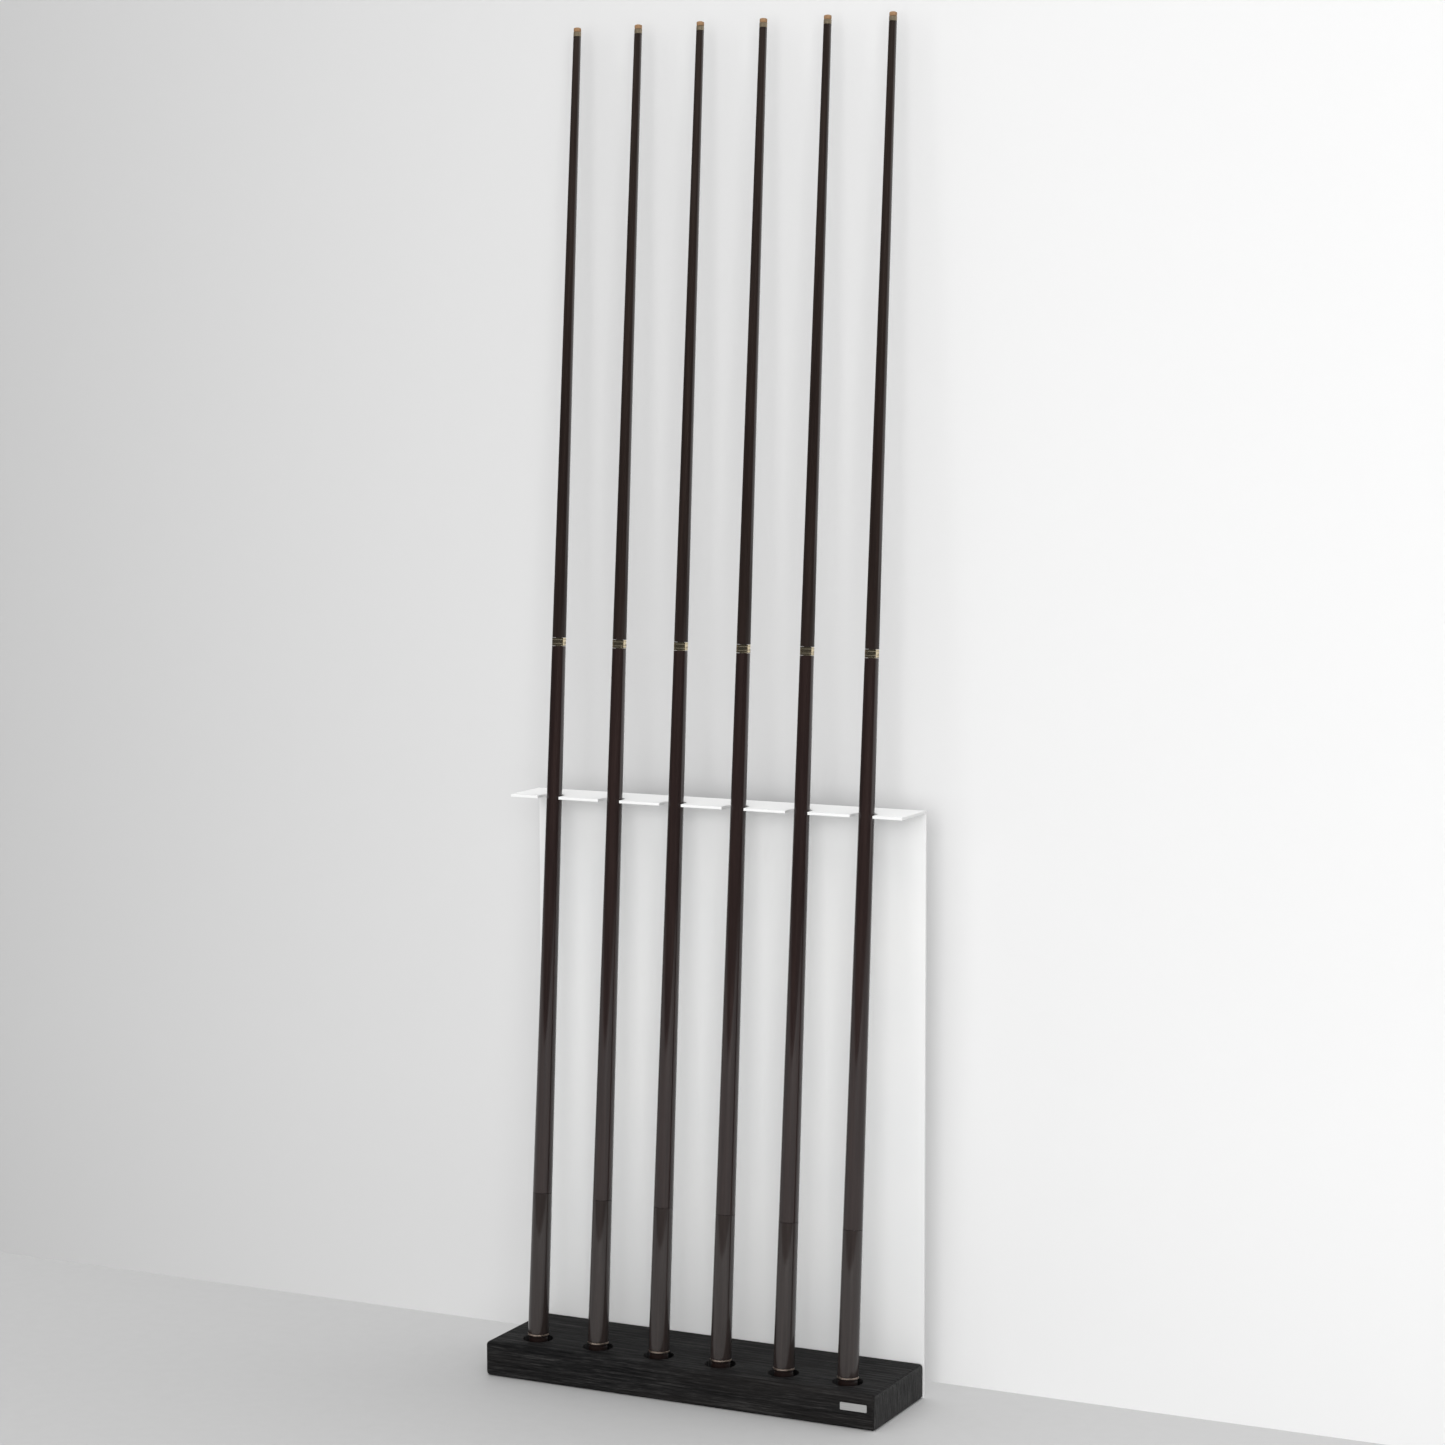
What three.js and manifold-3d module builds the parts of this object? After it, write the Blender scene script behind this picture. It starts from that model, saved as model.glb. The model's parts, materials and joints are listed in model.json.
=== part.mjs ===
// Wall cue rack: a folded sheet-steel panel with a notched shelf, fixed behind a black-stained
// wooden block with six round pockets, and the six two-piece cues that stand in it.
// Millimetres, +Z up. +X runs along the wall and +Y points into the wall. The origin is the
// middle of the block's underside, on the floor.
import * as THREE from "three";
import { RoundedBoxGeometry } from "three/addons/geometries/RoundedBoxGeometry.js";
import { mergeVertices } from "three/addons/utils/BufferGeometryUtils.js";
import Module from "manifold-3d";

// ---- Driving dimensions ----
const CUE_COUNT = 6;
const CUE_PITCH = 76;
const GAP = 0.3; // clearance between pieces that meet inside a leaning cue or a bored hole
const SEAT_GAP = 0.05; // clearance under a piece that is stuck to a flat face
const CUT_PAST = 5; // how far a cutting tool runs past the surface that it cuts

const BLOCK = { length: 475, depth: 133, height: 39, edge: 4.5 };
const POCKET = { radius: 17, depth: 14, y: -30.5 };
const PAD_THICKNESS = 2;

const SHEET = 3;
const SHELF = { top: 648, front: 1.5, outerBend: 4, innerBend: 1 };
const NOTCH_WIDTH = 26.5;

const RAIL = { length: 300, height: 30, top: 620, wall: 127.5, sheet: 2 };
const KEYHOLE = { x: 110, z: 598, headRadius: 5, slotRadius: 2.5, rise: 12 };

const SCREW = { x: 160, z: 20, shank: 2.4, head: 4.6, headDepth: 2.4, headEdge: 0.2, length: 26 };
const BADGE = { width: 31, height: 8.2, thickness: 0.8, corner: 1, x: 212.7, z: 23.9 };

// Stations are distances along a cue from the bottom of its bumper.
const CUE = { length: 1473, lean: 4.4, buttRadius: 11.75, taper: 0.0051 };
const STATION = { ring: 15.4, sleeve: 17.7, butt: 176, joint: 788.5, shaft: 797.8, ferrule: 1463, tip: 1468 };
const PIN = { radius: 4, length: 32, root: 20, chamfer: 1.5 };
const BUMPER = { radius: 10.5, sole: 5, round: 5.5 };
const TIP = { radius: 4.05, dome: 8 };

const TURNED_SIDES = 16; // sides of a cue's pieces and of the screws
const POCKET_SIDES = 32;
const EDGE_STEPS = 3; // segments in a rounded edge
const ARC_STEP = 15; // degrees that one segment of an arc may turn

// ---- Values worked out from the driving dimensions ----
const LEAN = THREE.MathUtils.degToRad(CUE.lean);
const PANEL_FRONT = BLOCK.depth / 2;
const PANEL_BACK = PANEL_FRONT + SHEET;
const POCKET_FLOOR = BLOCK.height - POCKET.depth;
const SOLE_LIFT = BUMPER.sole * Math.sin(LEAN) + GAP; // the flat sole tips with the cue
const CUE_FOOT_Z = POCKET_FLOOR + PAD_THICKNESS + SOLE_LIFT;
const CUE_FOOT_Y = POCKET.y - (BLOCK.height - CUE_FOOT_Z) * Math.tan(LEAN);
const cueX = (index) => (index - (CUE_COUNT - 1) / 2) * CUE_PITCH;
const cueRadius = (station) => CUE.buttRadius - CUE.taper * station;

// The notch ends where the back of a leaning cue meets the shelf's upper edge.
const restStation = (SHELF.top - CUE_FOOT_Z) / Math.cos(LEAN);
const notchEnd =
  CUE_FOOT_Y + (SHELF.top - CUE_FOOT_Z) * Math.tan(LEAN) + cueRadius(restStation) / Math.cos(LEAN) + GAP;
const notchCentre = notchEnd - NOTCH_WIDTH / 2;

// ---- Materials ----
const material = (color, roughness, metalness = 0) =>
  new THREE.MeshStandardMaterial({ color, roughness, metalness });
const blackWood = material(0x1c1c1d, 0.6);
const whiteCoat = material(0xe4e5e4, 0.45);
const brushedPlate = material(0xb9bbbc, 0.35, 1);
const zincPlate = material(0x9a9ca0, 0.4, 1);
const blackFelt = material(0x151516, 0.95);
const brownLacquer = material(0x2b201d, 0.3);
const redBrownLacquer = material(0x30231f, 0.28);
const greySleeve = material(0x35302f, 0.35);
const paleBrass = material(0xc9b68c, 0.2, 1);
const tanLeather = material(0xa9713f, 0.8);
const brownRubber = material(0x2a1512, 0.7);

// ---- Solid tools ----
const MERGE_TOLERANCE = 1e-4; // corners closer than this are one corner

const wasm = await Module();
wasm.setup();

function toManifold(geometry) {
  const bare = geometry.index ? geometry.toNonIndexed() : geometry.clone();
  bare.deleteAttribute("normal");
  bare.deleteAttribute("uv");
  const merged = mergeVertices(bare, MERGE_TOLERANCE);
  return new wasm.Manifold(
    new wasm.Mesh({
      numProp: 3,
      vertProperties: new Float32Array(merged.attributes.position.array),
      triVerts: new Uint32Array(merged.index.array),
    }),
  );
}

function fromManifold(solid) {
  const { vertProperties, triVerts } = solid.getMesh();
  const geometry = new THREE.BufferGeometry();
  geometry.setAttribute("position", new THREE.BufferAttribute(vertProperties, 3));
  geometry.setIndex(new THREE.BufferAttribute(triVerts, 1));
  geometry.computeVertexNormals();
  return geometry;
}

function cut(geometry, tools) {
  let solid = toManifold(geometry);
  for (const tool of tools) solid = solid.subtract(toManifold(tool));
  return fromManifold(solid);
}

// Turns a profile of [radius, height] points, from the bottom up, about the Z axis.
function turned(profile) {
  const points = profile.map(([radius, height]) => new THREE.Vector2(radius, height));
  return new THREE.LatheGeometry(points, TURNED_SIDES).rotateX(Math.PI / 2);
}

// Points of an arc about [cx, cy] from one angle to another, in degrees.
function arc(cx, cy, radius, fromDeg, toDeg) {
  const steps = Math.ceil(Math.abs(toDeg - fromDeg) / ARC_STEP);
  return Array.from({ length: steps + 1 }, (_, i) => {
    const angle = THREE.MathUtils.degToRad(fromDeg + ((toDeg - fromDeg) * i) / steps);
    return [cx + radius * Math.cos(angle), cy + radius * Math.sin(angle)];
  });
}

// Extrudes a [y, z] outline along X, centred on x = 0.
function extrudedAlongX(outline, length) {
  const shape = new THREE.Shape(outline.map(([y, z]) => new THREE.Vector2(y, z)));
  const geometry = new THREE.ExtrudeGeometry(shape, { depth: length, bevelEnabled: false });
  return geometry
    .rotateX(Math.PI / 2)
    .rotateZ(Math.PI / 2)
    .translate(-length / 2, 0, 0);
}

function mesh(name, geometry, finish) {
  const made = new THREE.Mesh(geometry, finish);
  made.name = name;
  return made;
}

// ---- Block with its pockets ----
function screwHole(place) {
  const radius = SCREW.shank + GAP;
  const bottom = -SCREW.length - GAP;
  const profile = [[0, bottom], [radius, bottom], [radius, CUT_PAST], [0, CUT_PAST]];
  return turned(profile).rotateX(-Math.PI / 2).translate(...place);
}

function screwPlaces() {
  return [-SCREW.x, SCREW.x].map((x) => new THREE.Vector3(x, PANEL_BACK, SCREW.z));
}

function baseBlock() {
  const { length, depth, height, edge } = BLOCK;
  const body = new RoundedBoxGeometry(length, depth, height, EDGE_STEPS, edge).translate(0, 0, height / 2);
  const drop = POCKET.depth + CUT_PAST;
  const pockets = Array.from({ length: CUE_COUNT }, (_, i) =>
    new THREE.CylinderGeometry(POCKET.radius, POCKET.radius, drop, POCKET_SIDES)
      .rotateX(Math.PI / 2)
      .translate(cueX(i), POCKET.y, POCKET_FLOOR + drop / 2),
  );
  return mesh("base_block", cut(body, [...pockets, ...screwPlaces().map(screwHole)]), blackWood);
}

function pocketPad(index) {
  const radius = POCKET.radius - GAP;
  const pad = new THREE.CylinderGeometry(radius, radius, PAD_THICKNESS, POCKET_SIDES);
  pad.rotateX(Math.PI / 2).translate(cueX(index), POCKET.y, POCKET_FLOOR + PAD_THICKNESS / 2);
  return mesh(`pocket_pad_${index + 1}`, pad, blackFelt);
}

// ---- Folded panel with its notched shelf ----
function notchTool(index) {
  const half = NOTCH_WIDTH / 2;
  const outside = SHELF.front - CUT_PAST;
  const rounded = arc(0, notchCentre, half, 0, 180);
  const shape = new THREE.Shape(
    [[-half, outside], [half, outside], ...rounded].map(([x, y]) => new THREE.Vector2(x, y)),
  );
  const tool = new THREE.ExtrudeGeometry(shape, { depth: SHEET + 2 * CUT_PAST, bevelEnabled: false });
  return tool.translate(cueX(index), 0, SHELF.top - SHEET - CUT_PAST);
}

function countersink(place) {
  const [narrow, wide] = [SCREW.shank + GAP, SCREW.head + GAP];
  const bottom = -SCREW.headDepth - GAP;
  const profile = [[0, bottom], [narrow, bottom], [wide, 0], [wide, CUT_PAST], [0, CUT_PAST]];
  return turned(profile).rotateX(-Math.PI / 2).translate(...place);
}

function backPanel() {
  const { top, front, outerBend, innerBend } = SHELF;
  const under = top - SHEET;
  const outline = [
    [PANEL_FRONT, 0],
    [PANEL_BACK, 0],
    ...arc(PANEL_BACK - outerBend, top - outerBend, outerBend, 0, 90),
    [front, top],
    [front, under],
    ...arc(PANEL_FRONT - innerBend, under - innerBend, innerBend, 90, 0),
  ];
  const notches = Array.from({ length: CUE_COUNT }, (_, i) => notchTool(i));
  const holes = screwPlaces().flatMap((place) => [screwHole(place), countersink(place)]);
  return mesh("back_panel", cut(extrudedAlongX(outline, BLOCK.length), [...notches, ...holes]), whiteCoat);
}

function panelScrew(place, index) {
  const { shank, head, headDepth, headEdge, length } = SCREW;
  const profile = [
    [0, -length],
    [shank, -length + shank],
    [shank, -headDepth],
    [head, -headEdge],
    [head, 0],
    [0, 0],
  ];
  const screw = mesh(`panel_screw_${index + 1}`, turned(profile), zincPlate);
  screw.rotation.x = -Math.PI / 2;
  screw.position.copy(place);
  return screw;
}

// ---- Hidden rail that keeps the panel off the wall ----
function keyholeTool(x) {
  const { z, headRadius, slotRadius, rise } = KEYHOLE;
  const bend = Math.asin(slotRadius / headRadius);
  const meet = THREE.MathUtils.radToDeg(bend);
  const outline = [
    ...arc(0, 0, headRadius, 90 + meet, 450 - meet),
    ...arc(0, rise, slotRadius, 0, 180),
  ];
  const shape = new THREE.Shape(outline.map(([u, v]) => new THREE.Vector2(u, v)));
  const depth = RAIL.sheet + 2 * CUT_PAST;
  const tool = new THREE.ExtrudeGeometry(shape, { depth, bevelEnabled: false });
  return tool.rotateX(Math.PI / 2).translate(x, RAIL.wall + CUT_PAST, z);
}

function wallRail() {
  const { length, height, top, wall, sheet } = RAIL;
  const outline = [
    [PANEL_BACK, top],
    [PANEL_BACK, top - height],
    [PANEL_BACK + sheet, top - height],
    [PANEL_BACK + sheet, top - sheet],
    [wall - sheet, top - sheet],
    [wall - sheet, top - height],
    [wall, top - height],
    [wall, top],
  ];
  const keyholes = [-KEYHOLE.x, KEYHOLE.x].map(keyholeTool);
  return mesh("wall_rail", cut(extrudedAlongX(outline, length), keyholes), zincPlate);
}

// ---- Plain plate on the block's front ----
function badgePlate() {
  const { width, height, thickness, corner, x, z } = BADGE;
  const shape = new THREE.Shape();
  const [right, up] = [width / 2, height / 2];
  shape.moveTo(right - corner, -up);
  shape.absarc(right - corner, -up + corner, corner, -Math.PI / 2, 0);
  shape.absarc(right - corner, up - corner, corner, 0, Math.PI / 2);
  shape.absarc(-right + corner, up - corner, corner, Math.PI / 2, Math.PI);
  shape.absarc(-right + corner, -up + corner, corner, Math.PI, 1.5 * Math.PI);
  const plate = new THREE.ExtrudeGeometry(shape, {
    depth: thickness,
    bevelEnabled: false,
    curveSegments: EDGE_STEPS,
  });
  plate.rotateX(Math.PI / 2).translate(x, -BLOCK.depth / 2 - SEAT_GAP, z);
  return mesh("badge_plate", plate, brushedPlate);
}

// ---- One two-piece cue, standing along its own Z ----
function tapered(from, to) {
  return [
    [0, from],
    [cueRadius(from), from],
    [cueRadius(to), to],
    [0, to],
  ];
}

const bumperProfile = () => [
  [0, 0],
  ...arc(BUMPER.sole, BUMPER.round, BUMPER.round, -90, 0),
  [BUMPER.radius, STATION.ring - GAP],
  [0, STATION.ring - GAP],
];

const buttProfile = () => {
  const end = STATION.joint - GAP;
  const bore = PIN.radius + GAP;
  const boreFloor = STATION.joint - PIN.root - GAP;
  return [...tapered(STATION.butt + GAP, end).slice(0, 3), [bore, end], [bore, boreFloor], [0, boreFloor]];
};

const jointProfile = () => {
  const face = STATION.shaft - GAP;
  const end = face + PIN.length;
  return [
    [0, STATION.joint - PIN.root],
    [PIN.radius, STATION.joint - PIN.root],
    [PIN.radius, STATION.joint],
    [cueRadius(STATION.joint), STATION.joint],
    [cueRadius(face), face],
    [PIN.radius, face],
    [PIN.radius, end - PIN.chamfer],
    [PIN.radius - PIN.chamfer, end],
    [0, end],
  ];
};

const shaftProfile = () => {
  const bore = PIN.radius + GAP;
  const boreEnd = STATION.shaft + PIN.length + GAP;
  const end = STATION.ferrule - GAP;
  return [
    [0, boreEnd],
    [bore, boreEnd],
    [bore, STATION.shaft],
    [cueRadius(STATION.shaft), STATION.shaft],
    [cueRadius(end), end],
    [0, end],
  ];
};

const tipProfile = () => {
  const shoulder = THREE.MathUtils.radToDeg(Math.acos(TIP.radius / TIP.dome));
  const crown = arc(0, CUE.length - TIP.dome, TIP.dome, shoulder, 90);
  return [[0, STATION.tip], [TIP.radius, STATION.tip], ...crown.slice(0, -1), [0, CUE.length]];
};

function cue(index) {
  const name = (piece) => `cue_${index + 1}_${piece}`;
  const standing = new THREE.Group();
  standing.add(
    mesh(name("bumper"), turned(bumperProfile()), brownRubber),
    mesh(name("ring"), turned(tapered(STATION.ring, STATION.sleeve - GAP)), paleBrass),
    mesh(name("sleeve"), turned(tapered(STATION.sleeve, STATION.butt)), greySleeve),
    mesh(name("butt"), turned(buttProfile()), redBrownLacquer),
    mesh(name("joint"), turned(jointProfile()), paleBrass),
    mesh(name("shaft"), turned(shaftProfile()), brownLacquer),
    mesh(name("ferrule"), turned(tapered(STATION.ferrule, STATION.tip - GAP)), paleBrass),
    mesh(name("tip"), turned(tipProfile()), tanLeather),
  );
  standing.position.set(cueX(index), CUE_FOOT_Y, CUE_FOOT_Z);
  standing.rotation.x = -LEAN;
  return standing;
}

// ---- The whole rack ----
const rack = new THREE.Group();
rack.add(baseBlock(), backPanel(), badgePlate(), wallRail(), ...screwPlaces().map(panelScrew));
for (let i = 0; i < CUE_COUNT; i += 1) rack.add(pocketPad(i), cue(i));

export default rack;
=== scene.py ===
"""Looks of the wall cue rack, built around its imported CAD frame. Metres, +Z up, +Y into the wall."""
import json
import math

import bmesh
import bpy
from mathutils import Matrix, Vector


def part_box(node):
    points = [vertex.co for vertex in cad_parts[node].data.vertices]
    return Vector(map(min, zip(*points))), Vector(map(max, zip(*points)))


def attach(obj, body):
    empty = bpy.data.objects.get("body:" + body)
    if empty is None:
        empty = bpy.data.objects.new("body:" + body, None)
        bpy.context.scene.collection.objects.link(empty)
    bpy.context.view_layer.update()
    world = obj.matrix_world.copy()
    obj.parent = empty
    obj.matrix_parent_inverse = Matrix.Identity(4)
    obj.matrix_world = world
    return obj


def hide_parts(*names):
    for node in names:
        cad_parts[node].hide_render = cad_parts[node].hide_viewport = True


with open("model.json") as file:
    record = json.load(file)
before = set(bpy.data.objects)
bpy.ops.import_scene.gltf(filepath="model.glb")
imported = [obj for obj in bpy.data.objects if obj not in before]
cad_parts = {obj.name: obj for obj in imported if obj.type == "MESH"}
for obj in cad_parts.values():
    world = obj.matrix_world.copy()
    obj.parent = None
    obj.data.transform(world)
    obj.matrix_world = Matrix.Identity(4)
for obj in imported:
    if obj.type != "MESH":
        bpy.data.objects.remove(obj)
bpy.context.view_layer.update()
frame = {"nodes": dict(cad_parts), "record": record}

# ---- Driving values that the frame does not hold ----
CUE_COUNT = 6
SCREW_COUNT = 2

CUE_SEGMENTS = 64           # around a cue or a pocket's pad
SCREW_SEGMENTS = 48
POCKET_SEGMENTS = 72
THREAD_SEGMENTS = 32
THREAD_ROWS = 8             # in one pitch
FILLET_STEPS = 4
NEW_SMOOTH = math.radians(35)   # a new mesh is smooth over edges that turn less than this
CUT_SMOOTH = math.radians(32)   # and a mesh that was cut or bevelled over these
SHARP = 1.0                 # an edge that turns more than this, in radians, can be bevelled
NEAR = 1e-4                 # a CAD corner this near to a plane or a line is on it
CLOSE = 1e-5                # and so is one this near, where others are not far off

PANEL_BEND_OUTER = 0.004
PANEL_BEND_INNER = 0.001
RAIL_BEND = 1.25            # radius at the middle of the rail's sheet, in sheets
BADGE_CORNER = 0.001
SHEET_EDGE = 0.0004         # softened edge of the panel
RAIL_EDGE = 0.0003
BADGE_EDGE = 0.00015
BLOCK_EDGE = 0.0045         # rounded edge of the block
POCKET_EDGE = 0.0006        # broken edge of a pocket's mouth
PAD_EDGE = 0.0006
SCREW_EDGE = 0.0001
POCKET_GAP = 0.0003         # around a pad
SCREW_GAP = 0.0003          # around a screw
CUT_PAST = 0.01             # how far a tool runs past a pocket's mouth or the shelf's front

JOIN_EDGE = 0.0002          # broken edge where two lengths of a cue meet
RING_EDGE = 0.0003          # of the ring, the ferrule and the tip
COLLAR_EDGE = 0.00015
THREAD_PITCH = 0.0018
THREAD_DEPTH = 0.0006
THREAD_CONE = 0.0016        # length over which a thread narrows to its end
THREAD_END = 0.6            # radius of that end, in radii of the thread

CAMERA_PLACE = Vector((1.6419, -3.2932, 1.1235))
CAMERA_FORWARD = Vector((-0.43791, 0.89299, -0.10395))
CAMERA_ROLL = math.radians(-0.12)
CAMERA_LENS = 85.01
SENSOR_WIDTH = 36.0

WALL_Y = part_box("wall_rail")[1].y
WALL_HEIGHT = 4.0
STAGE_REACH = 9.0
STAGE_FRONT = -3.6
# Tones of the paint against X: painted light, paler to the right in place of the light's fall-off.
WALL_PAINTED_LIGHT = ((-1.4, 0.42), (-1.05, 0.48), (-0.6, 0.56), (-0.1, 0.64), (0.3, 0.69), (0.8, 0.72))
FLOOR_PAINTED_LIGHT = ((-1.2, 0.44), (-0.3, 0.455), (0.3, 0.48), (1.0, 0.52))
# Brightness around the rack that its gloss reflects: the wall's side against X, and the room in front.
WALL_GLOW = ((-1, 0.02), (-0.85, 0.05), (-0.6, 0.5), (-0.3, 0.92), (1, 0.95))
ROOM_REFLECTED = 0.06
ROOM_SEEN = 0.62            # the plain grey that the camera sees past the stage


# ---- Mesh helpers ----
def is_sharp(edge, angle=SHARP):
    return len(edge.link_faces) == 2 and edge.calc_face_angle() > angle


def shade(bm, angle):
    """Smooth faces, with the edges that turn more than angle kept sharp."""
    for face in bm.faces:
        face.smooth = True
    for edge in bm.edges:
        edge.smooth = not is_sharp(edge, angle)


def shade_cut(obj):
    bm = bmesh.new()
    bm.from_mesh(obj.data)
    shade(bm, CUT_SMOOTH)
    bm.to_mesh(obj.data)
    bm.free()


def finish_mesh(bm, name, material):
    """Turns bm into an object with one material."""
    bmesh.ops.recalc_face_normals(bm, faces=bm.faces)
    shade(bm, NEW_SMOOTH)
    mesh = bpy.data.meshes.new(name)
    bm.to_mesh(mesh)
    bm.free()
    obj = bpy.data.objects.new(name, mesh)
    bpy.context.scene.collection.objects.link(obj)
    mesh.materials.append(material)
    return obj


def circle_point(radius, angle, height):
    return radius * math.cos(angle), radius * math.sin(angle), height


def turned(name, profile, material, segments=CUE_SEGMENTS):
    """A closed solid: a profile of (radius, height) points from axis to axis, turned about Z."""
    bm = bmesh.new()
    rings = []
    for radius, height in profile:
        count = segments if radius > 0 else 1
        angles = (2 * math.pi * i / segments for i in range(count))
        rings.append([bm.verts.new(circle_point(radius, angle, height)) for angle in angles])
    for low, high in zip(rings, rings[1:]):
        for i in range(segments):
            j = (i + 1) % segments
            corners = [low[i % len(low)], low[j % len(low)], high[j % len(high)], high[i % len(high)]]
            bm.faces.new(list(dict.fromkeys(corners)))
    return finish_mesh(bm, name, material)


def extruded(name, outline, depth, place, material):
    """A closed prism. place(u, v, w) gives the point of outline point (u, v) at depth w."""
    bm = bmesh.new()
    near = [bm.verts.new(place(u, v, 0.0)) for u, v in outline]
    far = [bm.verts.new(place(u, v, depth)) for u, v in outline]
    bm.faces.new(near)
    bm.faces.new(far[::-1])
    for i in range(len(outline)):
        j = (i + 1) % len(outline)
        bm.faces.new((near[i], near[j], far[j], far[i]))
    return finish_mesh(bm, name, material)


def arc(cx, cy, radius, start_deg, end_deg, steps):
    angles = (math.radians(start_deg + (end_deg - start_deg) * i / steps) for i in range(steps + 1))
    return [(cx + radius * math.cos(a), cy + radius * math.sin(a)) for a in angles]


def rounded(corner, before, after, radius):
    """Points of a small fillet at a profile corner that lies between two other points."""
    corner, before, after = Vector(corner), Vector(before), Vector(after)
    start = corner + (before - corner).normalized() * radius
    end = corner + (after - corner).normalized() * radius
    points = []
    for i in range(FILLET_STEPS + 1):
        t = i / FILLET_STEPS
        points.append(tuple((1 - t) ** 2 * start + 2 * t * (1 - t) * corner + t * t * end))
    return points


def softened(profile, radius):
    """The profile with every inner corner rounded by radius, or by what its edges leave room for."""
    points = [tuple(profile[0])]
    for before, corner, after in zip(profile, profile[1:], profile[2:]):
        room = min((Vector(corner) - Vector(before)).length, (Vector(after) - Vector(corner)).length)
        points += rounded(corner, before, after, min(radius, 0.45 * room))
    return points + [tuple(profile[-1])]


def apply_modifiers(obj):
    bpy.context.view_layer.update()
    evaluated = obj.evaluated_get(bpy.context.evaluated_depsgraph_get())
    mesh = bpy.data.meshes.new_from_object(evaluated)
    old = obj.data
    obj.modifiers.clear()
    obj.data = mesh
    bpy.data.meshes.remove(old)


def subtract(obj, tools):
    """Cuts the tool objects out of obj and removes them."""
    for tool in tools:
        modifier = obj.modifiers.new("cut", "BOOLEAN")
        modifier.operation = "DIFFERENCE"
        modifier.solver = "EXACT"
        modifier.object = tool
    apply_modifiers(obj)
    for tool in tools:
        bpy.data.objects.remove(tool)


def bevel(obj, width, chosen=is_sharp, segments=2):
    """Bevels the edges for which chosen(edge) is true, and shades the flat faces as flat."""
    bm = bmesh.new()
    bm.from_mesh(obj.data)
    weights = [float(chosen(edge)) for edge in bm.edges]
    layer = bm.edges.layers.float.new("bevel_weight_edge")
    for edge, weight in zip(bm.edges, weights):
        edge[layer] = weight
    bm.to_mesh(obj.data)
    bm.free()
    modifier = obj.modifiers.new("soft edges", "BEVEL")
    modifier.limit_method = "WEIGHT"
    modifier.width = width
    modifier.segments = segments
    modifier.use_clamp_overlap = True
    apply_modifiers(obj)
    shade_cut(obj)
    weighted = obj.modifiers.new("flat faces", "WEIGHTED_NORMAL")
    weighted.keep_sharp = True
    apply_modifiers(obj)


def place_piece(obj, body, slot, *nodes):
    """Every piece rides on a body and stands for CAD nodes, which are hidden; slot is not used."""
    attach(obj, body)
    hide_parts(*nodes)


def cad_corners(node):
    return [vertex.co for vertex in frame["nodes"][node].data.vertices]


# ---- Node helpers ----
MIX_INPUTS, MIX_RESULT = (0, 6, 7), 2   # a Mix node's sockets for colours: factor, A and B, and its result


def rgba(colour):
    """A colour with its alpha. A plain number is a grey."""
    triple = (colour,) * 3 if isinstance(colour, (int, float)) else colour
    return (*triple, 1.0)


class Graph:
    """A small builder for the nodes of one tree."""

    def __init__(self, tree):
        self.tree = tree

    def feed(self, socket, value):
        """Links an input to an output, or sets it to a number, a vector or a colour."""
        if isinstance(value, bpy.types.NodeSocket):
            self.tree.links.new(value, socket)
        elif socket.type == "RGBA":
            socket.default_value = rgba(value)
        else:
            socket.default_value = value

    def node(self, kind, **inputs):
        made = self.tree.nodes.new("ShaderNode" + kind)
        for name, value in inputs.items():
            self.feed(made.inputs[name], value)
        return made

    def noise(self, vector, scale=1.0, detail=4.0, roughness=0.55, distortion=0.0):
        settings = {"Scale": scale, "Detail": detail, "Roughness": roughness, "Distortion": distortion}
        return self.node("TexNoise", Vector=vector, **settings).outputs["Fac"]

    def ramp(self, factor, *stops, interpolation="LINEAR"):
        """stops are (position, colour) pairs."""
        made = self.node("ValToRGB", Fac=factor)
        made.color_ramp.interpolation = interpolation
        elements = made.color_ramp.elements
        while len(elements) < len(stops):
            elements.new(0.5)
        for element, (position, colour) in zip(elements, stops):
            element.position = position
            element.color = rgba(colour)
        return made.outputs["Color"]

    def tone_along(self, value, low, high, stops, interpolation="LINEAR"):
        """A grey that follows value from low to high; stops are (value, tone) pairs."""
        along = self.math("DIVIDE", self.math("SUBTRACT", value, low), high - low)
        scaled = [((at - low) / (high - low), tone) for at, tone in stops]
        return self.ramp(along, *scaled, interpolation=interpolation)

    def math(self, operation, a, b=0.0):
        made = self.node("Math")
        made.operation = operation
        for socket, value in zip(made.inputs, (a, b)):
            self.feed(socket, value)
        return made.outputs["Value"]

    def mix(self, factor, a, b, blend="MIX"):
        made = self.node("Mix")
        made.data_type = "RGBA"
        made.blend_type = blend
        for index, value in zip(MIX_INPUTS, (factor, a, b)):
            self.feed(made.inputs[index], value)
        return made.outputs[MIX_RESULT]

    def bump(self, height, distance, strength):
        return self.node("Bump", Height=height, Distance=distance, Strength=strength).outputs["Normal"]


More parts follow.
